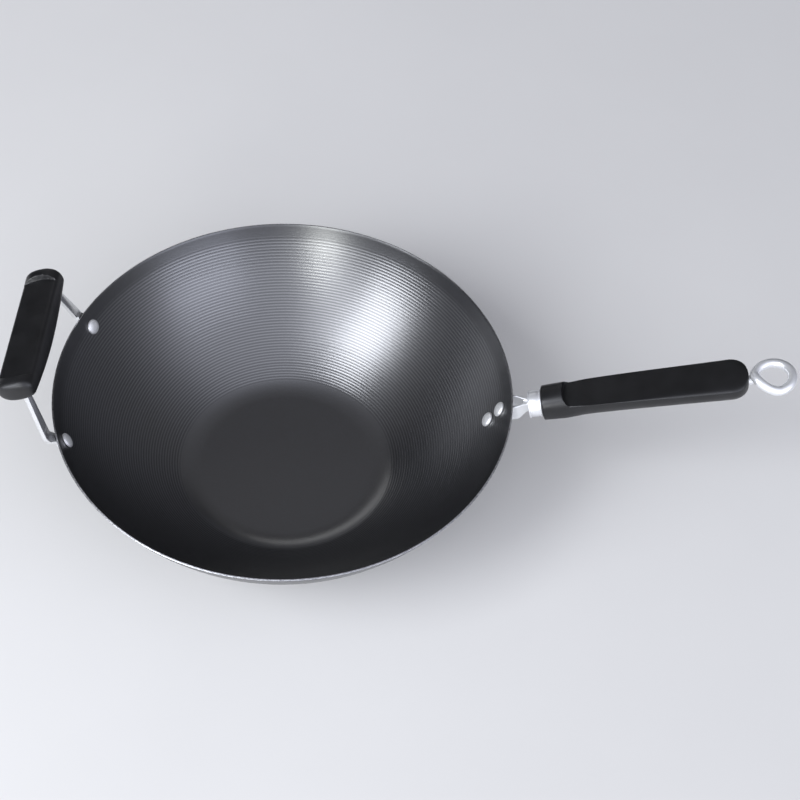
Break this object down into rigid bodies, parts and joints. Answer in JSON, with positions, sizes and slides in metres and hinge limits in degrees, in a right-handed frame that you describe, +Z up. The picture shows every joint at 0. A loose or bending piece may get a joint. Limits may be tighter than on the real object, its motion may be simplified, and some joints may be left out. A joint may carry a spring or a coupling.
{
  "type": "flat-bottom wok",
  "caption": "Flat-bottom wok with a dark non-stick bowl, a long black handle with a hanging eye, and a black helper handle on a chrome bail",
  "frame": {"origin": "middle of the underside of the base, where the wok stands", "axes": "+Z up, +X out along the long handle, the helper handle on -X"},
  "size_m": [0.5929, 0.3554, 0.1582],
  "materials": {
    "coated_steel": "dark grey non-stick coating, semi-gloss",
    "chrome": "bright chrome plate",
    "satin_rivet": "satin",
    "zinc_steel": "zinc plated",
    "soft_black": "soft-touch matte"
  },
  "bodies": {
    "root": {"wok_bowl": "coated_steel", "handle_bracket": "chrome", "handle_rivet_upper": "satin_rivet", "handle_rivet_lower": "satin_rivet", "handle_ferrule": "chrome", "tie_rod_nut": "zinc_steel", "handle_grip": "soft_black", "eye_washer": "chrome", "hanging_eye_rod": "chrome", "helper_bail": "chrome", "helper_grip": "soft_black", "helper_rivet_front": "satin_rivet", "helper_rivet_rear": "satin_rivet"}
  },
  "joints": []
}
